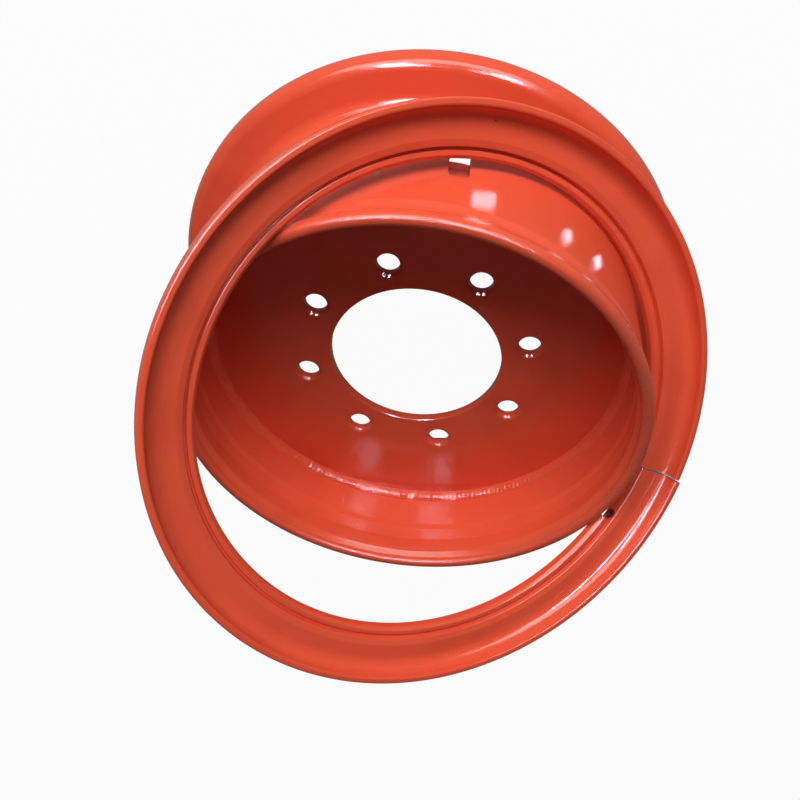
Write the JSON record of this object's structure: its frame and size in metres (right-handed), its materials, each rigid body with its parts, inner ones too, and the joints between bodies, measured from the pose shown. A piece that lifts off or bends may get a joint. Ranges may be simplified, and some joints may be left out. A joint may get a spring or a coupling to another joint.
{
  "type": "steel wheel",
  "caption": "Industrial steel wheel: a flat-base rim with a welded flat disc, hub bore, bolt circle and valve slot, and a split side ring leaning on its front lip.",
  "frame": {"origin": "centre of the hub bore on the disc's mounting (back) face", "axes": "+Z along the wheel's axis towards its open front, -Y through the valve slot"},
  "size_m": [0.4844, 0.4832, 0.3511],
  "materials": {
    "paint": "glossy orange-red sprayed paint over steel"
  },
  "bodies": {
    "root": {"rim_base": "paint", "wheel_disc": "paint", "front_weld": "paint", "back_weld": "paint", "side_ring": "paint"}
  },
  "joints": []
}
